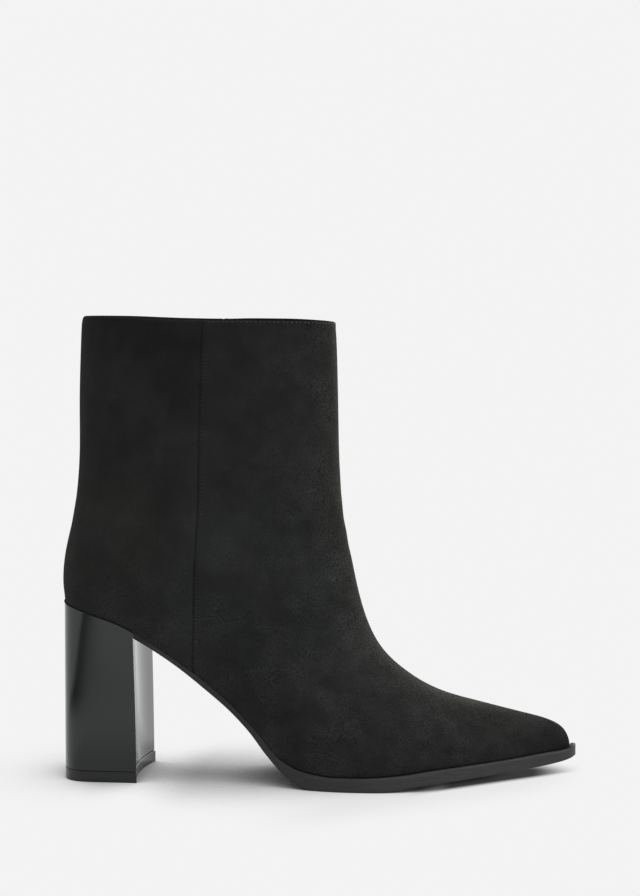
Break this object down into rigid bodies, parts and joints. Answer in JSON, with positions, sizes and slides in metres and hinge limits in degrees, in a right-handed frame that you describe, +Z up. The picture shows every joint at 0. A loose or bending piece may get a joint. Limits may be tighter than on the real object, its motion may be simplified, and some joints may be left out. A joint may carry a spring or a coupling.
{
  "type": "ankle boot",
  "caption": "Black suede ankle boot for the right foot with a pointed toe, a plain shaft closed by side seams, a thin sole and a tall polished block heel; worn on the foot.",
  "frame": {"origin": "on the floor, in the middle of the boot's footprint box", "axes": "+X from the heel to the toe, +Y to the inner side of the foot, +Z up from the floor through the collar"},
  "size_m": [0.25, 0.072, 0.2252],
  "materials": {
    "suede": "matte black suede with a short nap",
    "sole_rubber": "satin dark grey",
    "heel_gloss": "smooth polished black",
    "sock_lining": "plain dark lining leather"
  },
  "bodies": {
    "root": {"upper": "suede", "outsole": "sole_rubber", "heel_block": "heel_gloss", "heel_top_piece": "sole_rubber", "insole": "sock_lining"}
  },
  "joints": []
}
